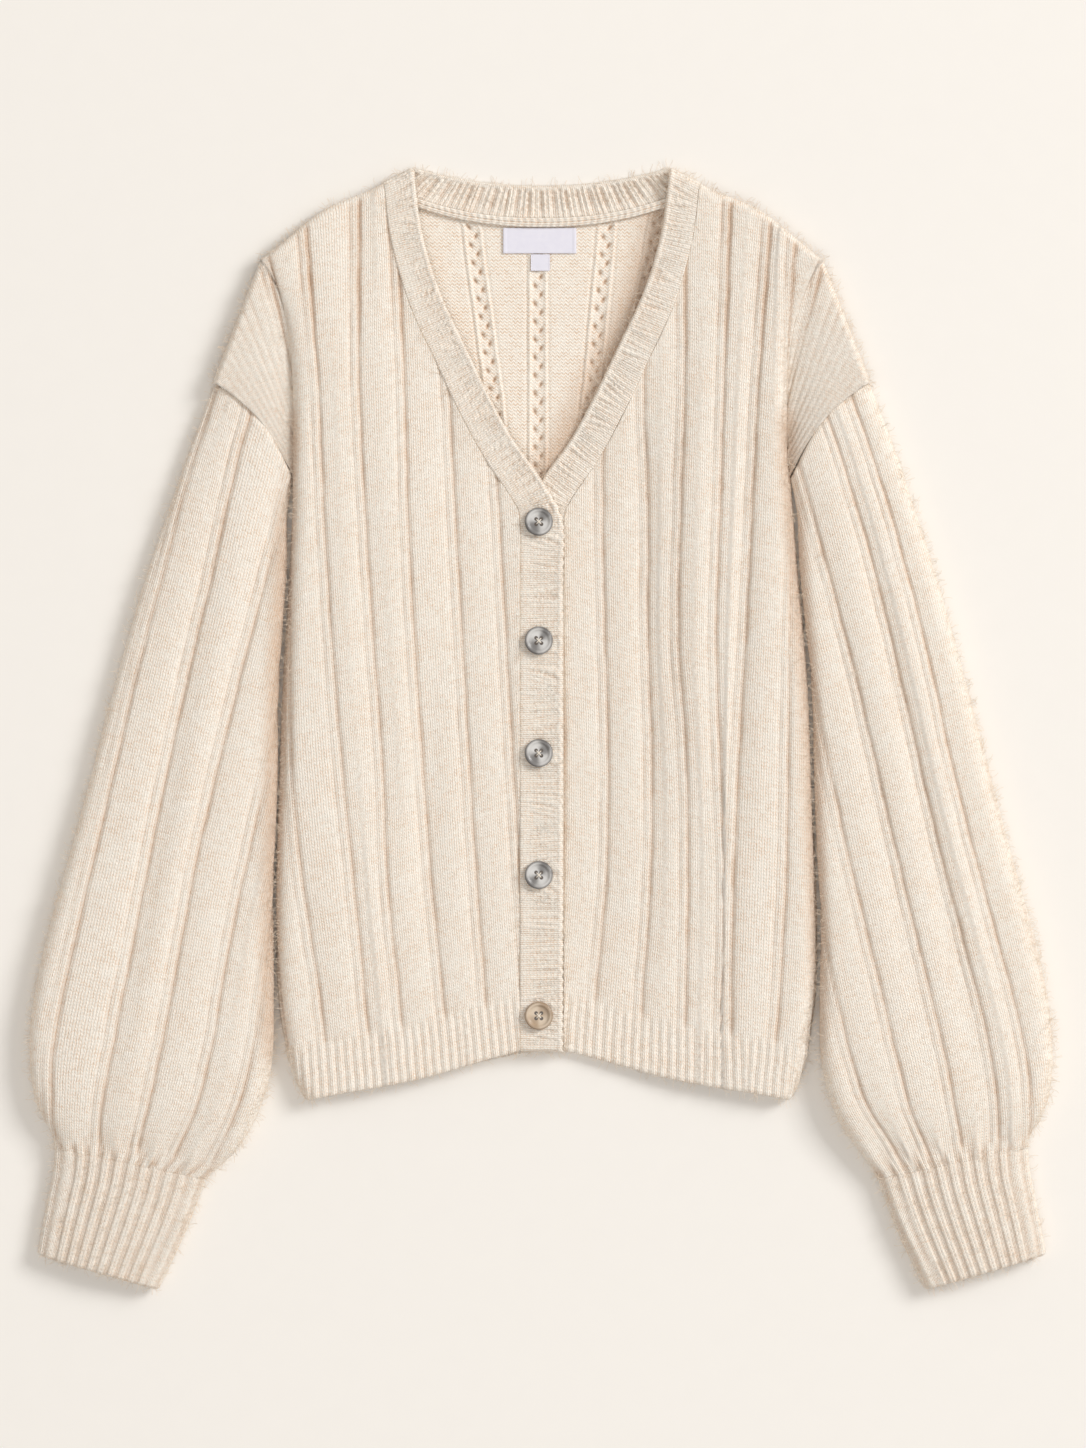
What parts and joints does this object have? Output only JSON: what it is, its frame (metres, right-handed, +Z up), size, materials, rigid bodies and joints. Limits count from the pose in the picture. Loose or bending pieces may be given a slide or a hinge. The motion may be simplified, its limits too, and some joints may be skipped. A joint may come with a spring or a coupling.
{
  "type": "button cardigan",
  "caption": "Cream wide-rib V-neck cardigan with balloon sleeves and shell buttons, laid flat on its back with the fronts buttoned.",
  "frame": {"origin": "under the middle of the garment, on the surface that it lies on", "axes": "+X to the wearer's left (the viewer's right), +Y from the hem to the neck, +Z up off the surface"},
  "size_m": [0.655, 0.72, 0.0218],
  "materials": {
    "knit": "brushed wool-blend rib knit, matt",
    "label_satin": "woven satin ribbon",
    "shell_grey": "shell-look, silver grey with a dark rim",
    "shell_brown": "shell-look, warm beige"
  },
  "bodies": {
    "root": {"back": "knit", "front_right": "knit", "front_left": "knit", "band_front_right": "knit", "band_front_left": "knit", "band_back_neck": "knit", "neck_tape": "knit", "sleeve_right": "knit", "cuff_right": "knit", "sleeve_left": "knit", "cuff_left": "knit", "label": "label_satin", "size_tab": "label_satin", "button_1": "shell_grey", "button_2": "shell_grey", "button_3": "shell_grey", "button_4": "shell_grey", "button_5": "shell_brown"}
  },
  "joints": []
}
